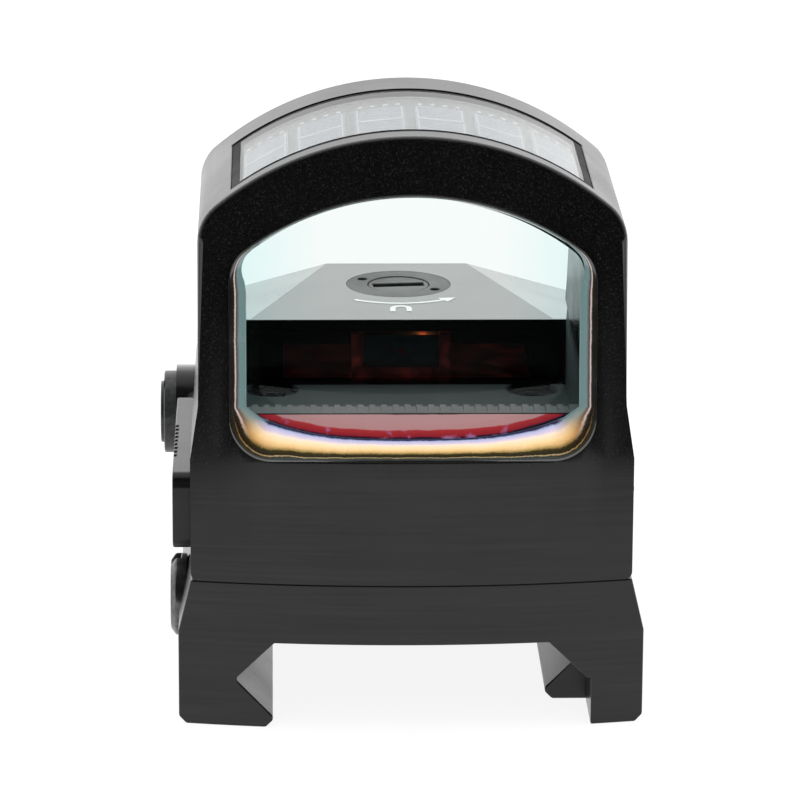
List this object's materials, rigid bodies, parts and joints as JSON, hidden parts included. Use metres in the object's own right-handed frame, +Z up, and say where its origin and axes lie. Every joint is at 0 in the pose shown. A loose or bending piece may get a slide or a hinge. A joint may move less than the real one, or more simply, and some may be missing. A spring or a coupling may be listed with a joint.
{
  "type": "red dot finder",
  "caption": "Open reflex red dot finder: arched hood with coated lens and solar roof, elevation and windage adjusters, side battery tray, and a clamp mount for a slotted 45-degree rail.",
  "frame": {"origin": "On the rail's top plane and centre line, midway between the two clamp bolts, in the middle of the seat that rests on the rail", "axes": "+Z up, -Y towards the lens side (down range), +Y towards the eye, +X to the right as seen from the lens side"},
  "size_m": [0.0334, 0.045, 0.0405],
  "materials": {
    "anodised_black": "matte black anodised, fine machining lines",
    "lens_glass": "polished, red-reflecting coating",
    "sealant": "cured sealant",
    "clear_cover": "glossy clear cover",
    "solar_cell": "dark silicon with silver fingers",
    "circuit_board": "solder mask",
    "rubber": "matte",
    "copper_strip": "plated strip",
    "pane_glass": "polished",
    "machined_steel": "machined",
    "black_plastic": "moulded",
    "diode_red": "clear red resin",
    "mask_chrome": "thin chrome mask",
    "adjuster_grey": "grey anodised, turned",
    "spring_steel": "bright wire",
    "brass": "machined brass",
    "button_rubber": "satin moulded",
    "battery_steel": "bright nickel",
    "blackened_steel": "black oxide"
  },
  "bodies": {
    "sight": {"housing": "anodised_black", "lens_front": "lens_glass", "lens_rear": "lens_glass", "lens_sealant": "sealant", "solar_cover": "clear_cover", "solar_cells": "solar_cell", "solar_board": "circuit_board", "solar_gasket": "rubber", "solar_flex": "copper_strip", "emitter_window": "pane_glass", "emitter_flex": "copper_strip", "elevation_ring": "adjuster_grey", "elevation_oring": "rubber", "elevation_detent": "machined_steel", "windage_ring": "adjuster_grey", "windage_oring": "rubber", "windage_detent": "machined_steel", "circuit_board": "circuit_board", "control_chip": "black_plastic", "board_screws": "machined_steel", "button_board": "circuit_board", "button_domes": "spring_steel", "button_boots": "rubber", "battery_spring": "copper_strip", "battery_contact": "copper_strip", "bottom_plate": "anodised_black", "bottom_seal": "rubber", "bottom_screws": "blackened_steel", "mount_base": "anodised_black", "recoil_pins": "machined_steel", "sight_screws": "blackened_steel"},
    "elevation_adjuster": {"elevation_screw": "adjuster_grey"},
    "carrier": {"emitter_carrier": "machined_steel", "elevation_spring": "spring_steel"},
    "windage_adjuster": {"windage_screw": "adjuster_grey"},
    "windage_follower": {"windage_nut": "brass"},
    "carriage": {"emitter_carriage": "black_plastic", "emitter_board": "circuit_board", "emitter_diode": "diode_red", "reticle_mask": "mask_chrome", "windage_spring": "spring_steel"},
    "tray": {"battery_tray": "anodised_black", "battery_cell": "battery_steel", "battery_tray_seal": "rubber"},
    "tray_screw": {"battery_tray_screw": "blackened_steel"},
    "plus_key": {"button_plus": "button_rubber"},
    "minus_key": {"button_minus": "button_rubber"},
    "front_bolt": {"clamp_bolt_front": "blackened_steel"},
    "rear_bolt": {"clamp_bolt_rear": "blackened_steel"},
    "jaw": {"clamp_jaw": "anodised_black"}
  },
  "joints": [
    {"name": "elevation_turn", "type": "hinge", "parent": "sight", "child": "elevation_adjuster", "pos_m": [0, 0.01379, 0.0139], "axis": [0, 0, 1], "range_deg": [-361, 361]},
    {"name": "emitter_lift", "type": "slide", "parent": "sight", "child": "carrier", "axis": [0, 0, 1], "range_m": [-0.00035, 0.00035], "deforming": ["elevation_spring"]},
    {"name": "windage_turn", "type": "hinge", "parent": "sight", "child": "windage_adjuster", "pos_m": [-0.01495, 0.00549, 0.00635], "axis": [1, 0, 0], "range_deg": [-361, 361]},
    {"name": "windage_nut_slide", "type": "slide", "parent": "sight", "child": "windage_follower", "axis": [1, 0, 0], "range_m": [-0.00036, 0.00036]},
    {"name": "emitter_shift", "type": "slide", "parent": "carrier", "child": "carriage", "axis": [1, 0, 0], "range_m": [-0.00035, 0.00035], "deforming": ["windage_spring"]},
    {"name": "battery_tray_slide", "type": "slide", "parent": "sight", "child": "tray", "axis": [-1, 0, 0], "range_m": [0, 0.018]},
    {"name": "tray_screw_turn", "type": "hinge", "parent": "tray", "child": "tray_screw", "pos_m": [-0.01595, -0.01801, 0.00635], "axis": [-1, 0, 0], "range_deg": [0, 1440]},
    {"name": "plus_press", "type": "slide", "parent": "sight", "child": "plus_key", "axis": [-1, 0, 0], "range_m": [0, 0.0003], "stiffness_N_per_m": 5000},
    {"name": "minus_press", "type": "slide", "parent": "sight", "child": "minus_key", "axis": [-1, 0, 0], "range_m": [0, 0.0003], "stiffness_N_per_m": 5000},
    {"name": "clamp_front_turn", "type": "hinge", "parent": "sight", "child": "front_bolt", "pos_m": [0, -0.01502, -0.00095], "axis": [-1, 0, 0], "range_deg": [0, 1261]},
    {"name": "clamp_rear_turn", "type": "hinge", "parent": "sight", "child": "rear_bolt", "pos_m": [0, 0.01502, -0.00095], "axis": [-1, 0, 0], "range_deg": [0, 1261]},
    {"name": "jaw_open", "type": "slide", "parent": "sight", "child": "jaw", "axis": [1, 0, 0], "range_m": [0, 0.00245]}
  ],
  "couplings": [
    {"joint": "elevation_turn", "follows": "emitter_lift", "rad_per_m": 17952},
    {"joint": "windage_turn", "follows": "emitter_shift", "rad_per_m": 17952},
    {"joint": "windage_nut_slide", "follows": "emitter_shift", "ratio": 1},
    {"joint": "clamp_front_turn", "follows": "jaw_open", "rad_per_m": 8976},
    {"joint": "clamp_rear_turn", "follows": "jaw_open", "rad_per_m": 8976}
  ]
}
